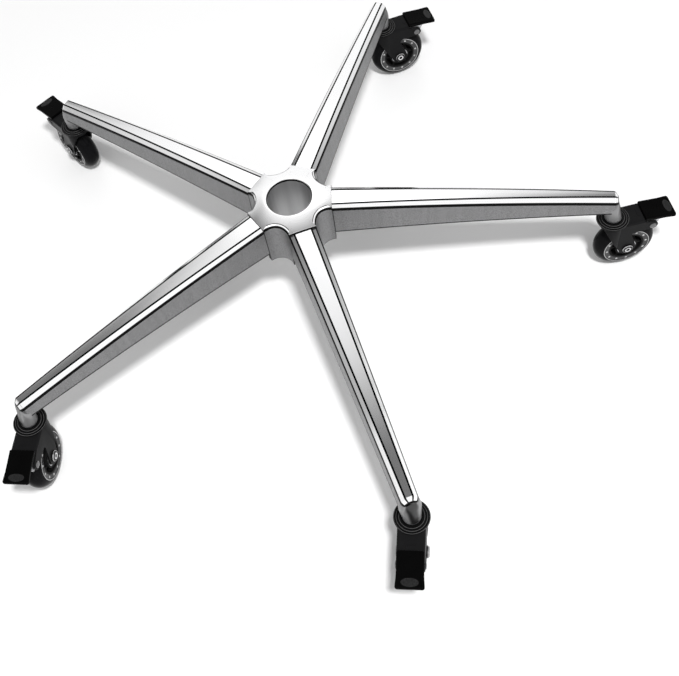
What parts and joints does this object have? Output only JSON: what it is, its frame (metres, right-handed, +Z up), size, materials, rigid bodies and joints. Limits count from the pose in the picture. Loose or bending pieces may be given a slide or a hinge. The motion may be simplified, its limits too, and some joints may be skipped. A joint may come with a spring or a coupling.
{
  "type": "office chair five star base",
  "caption": "Die-cast star base for a swivel chair, with a tapered lift socket and a braked swivel caster plugged into the end of each arm.",
  "frame": {"origin": "centre of the lift socket's mouth, on the flat ring at the top of the hub", "axes": "+Z up along the socket, +X along the middle of arm 1, +Y to its left"},
  "size_m": [0.7825, 0.7912, 0.166],
  "materials": {
    "polished_aluminium": "polished facets, plain cast side walls",
    "black_steel": "satin black coating",
    "bright_steel": "bright plated",
    "plain_steel": "zinc plated",
    "tread_urethane": "smoky black moulded urethane",
    "core_nylon": "moulded black nylon",
    "pedal_plastic": "moulded black, slightly glossy"
  },
  "bodies": {
    "base": {"base_casting": "polished_aluminium", "caster_stems": "plain_steel", "stem_grip_rings": "plain_steel", "race_caps": "black_steel"},
    "swivel_1": {"caster_1_fork": "black_steel", "caster_1_race_balls": "plain_steel", "caster_1_axle_barrel": "bright_steel", "caster_1_axle_screw": "bright_steel", "caster_1_brake_pin": "bright_steel", "caster_1_brake_leaf": "plain_steel"},
    "wheel_1": {"caster_1_tread": "tread_urethane", "caster_1_wheel_core": "core_nylon", "caster_1_wheel_bearings": "plain_steel"},
    "brake_1": {"caster_1_brake_lever": "plain_steel", "caster_1_pedal": "pedal_plastic"},
    "swivel_2": {"caster_2_fork": "black_steel", "caster_2_race_balls": "plain_steel", "caster_2_axle_barrel": "bright_steel", "caster_2_axle_screw": "bright_steel", "caster_2_brake_pin": "bright_steel", "caster_2_brake_leaf": "plain_steel"},
    "wheel_2": {"caster_2_tread": "tread_urethane", "caster_2_wheel_core": "core_nylon", "caster_2_wheel_bearings": "plain_steel"},
    "brake_2": {"caster_2_brake_lever": "plain_steel", "caster_2_pedal": "pedal_plastic"},
    "swivel_3": {"caster_3_fork": "black_steel", "caster_3_race_balls": "plain_steel", "caster_3_axle_barrel": "bright_steel", "caster_3_axle_screw": "bright_steel", "caster_3_brake_pin": "bright_steel", "caster_3_brake_leaf": "plain_steel"},
    "wheel_3": {"caster_3_tread": "tread_urethane", "caster_3_wheel_core": "core_nylon", "caster_3_wheel_bearings": "plain_steel"},
    "brake_3": {"caster_3_brake_lever": "plain_steel", "caster_3_pedal": "pedal_plastic"},
    "swivel_4": {"caster_4_fork": "black_steel", "caster_4_race_balls": "plain_steel", "caster_4_axle_barrel": "bright_steel", "caster_4_axle_screw": "bright_steel", "caster_4_brake_pin": "bright_steel", "caster_4_brake_leaf": "plain_steel"},
    "wheel_4": {"caster_4_tread": "tread_urethane", "caster_4_wheel_core": "core_nylon", "caster_4_wheel_bearings": "plain_steel"},
    "brake_4": {"caster_4_brake_lever": "plain_steel", "caster_4_pedal": "pedal_plastic"},
    "swivel_5": {"caster_5_fork": "black_steel", "caster_5_race_balls": "plain_steel", "caster_5_axle_barrel": "bright_steel", "caster_5_axle_screw": "bright_steel", "caster_5_brake_pin": "bright_steel", "caster_5_brake_leaf": "plain_steel"},
    "wheel_5": {"caster_5_tread": "tread_urethane", "caster_5_wheel_core": "core_nylon", "caster_5_wheel_bearings": "plain_steel"},
    "brake_5": {"caster_5_brake_lever": "plain_steel", "caster_5_pedal": "pedal_plastic"}
  },
  "joints": [
    {"name": "swivel_1_turn", "type": "hinge", "parent": "base", "child": "swivel_1", "pos_m": [0.36, 0, -0.079], "axis": [0, 0, 1], "continuous": true},
    {"name": "wheel_1_roll", "type": "hinge", "parent": "swivel_1", "child": "wheel_1", "pos_m": [0.37898, 0.004, -0.13], "axis": [-0.2062, 0.9785, 0], "continuous": true},
    {"name": "brake_1_press", "type": "hinge", "parent": "swivel_1", "child": "brake_1", "pos_m": [0.40354, 0.00918, -0.0955], "axis": [-0.2062, 0.9785, 0], "range_deg": [0, 16]},
    {"name": "swivel_2_turn", "type": "hinge", "parent": "base", "child": "swivel_2", "pos_m": [0.11125, 0.34238, -0.079], "axis": [0, 0, 1], "continuous": true},
    {"name": "wheel_2_roll", "type": "hinge", "parent": "swivel_2", "child": "wheel_2", "pos_m": [0.12978, 0.34812, -0.13], "axis": [-0.2957, 0.9553, 0], "continuous": true},
    {"name": "brake_2_press", "type": "hinge", "parent": "swivel_2", "child": "brake_2", "pos_m": [0.15375, 0.35554, -0.0955], "axis": [-0.2957, 0.9553, 0], "range_deg": [0, 16]},
    {"name": "swivel_3_turn", "type": "hinge", "parent": "base", "child": "swivel_3", "pos_m": [-0.29125, 0.2116, -0.079], "axis": [0, 0, 1], "continuous": true},
    {"name": "wheel_3_roll", "type": "hinge", "parent": "swivel_3", "child": "wheel_3", "pos_m": [-0.3047, 0.22558, -0.13], "axis": [-0.7206, -0.6934, 0], "continuous": true},
    {"name": "brake_3_press", "type": "hinge", "parent": "swivel_3", "child": "brake_3", "pos_m": [-0.3221, 0.24366, -0.0955], "axis": [-0.7206, -0.6934, 0], "range_deg": [0, 16]},
    {"name": "swivel_4_turn", "type": "hinge", "parent": "base", "child": "swivel_4", "pos_m": [-0.29125, -0.2116, -0.079], "axis": [0, 0, 1], "continuous": true},
    {"name": "wheel_4_roll", "type": "hinge", "parent": "swivel_4", "child": "wheel_4", "pos_m": [-0.29317, -0.23091, -0.13], "axis": [0.9951, -0.0993, 0], "continuous": true},
    {"name": "brake_4_press", "type": "hinge", "parent": "swivel_4", "child": "brake_4", "pos_m": [-0.29567, -0.25588, -0.0955], "axis": [0.9951, -0.0993, 0], "range_deg": [0, 16]},
    {"name": "swivel_5_turn", "type": "hinge", "parent": "base", "child": "swivel_5", "pos_m": [0.11125, -0.34238, -0.079], "axis": [0, 0, 1], "continuous": true},
    {"name": "wheel_5_roll", "type": "hinge", "parent": "swivel_5", "child": "wheel_5", "pos_m": [0.10945, -0.3617, -0.13], "axis": [0.9957, -0.0924, 0], "continuous": true},
    {"name": "brake_5_press", "type": "hinge", "parent": "swivel_5", "child": "brake_5", "pos_m": [0.10714, -0.38668, -0.0955], "axis": [0.9957, -0.0924, 0], "range_deg": [0, 16]}
  ]
}
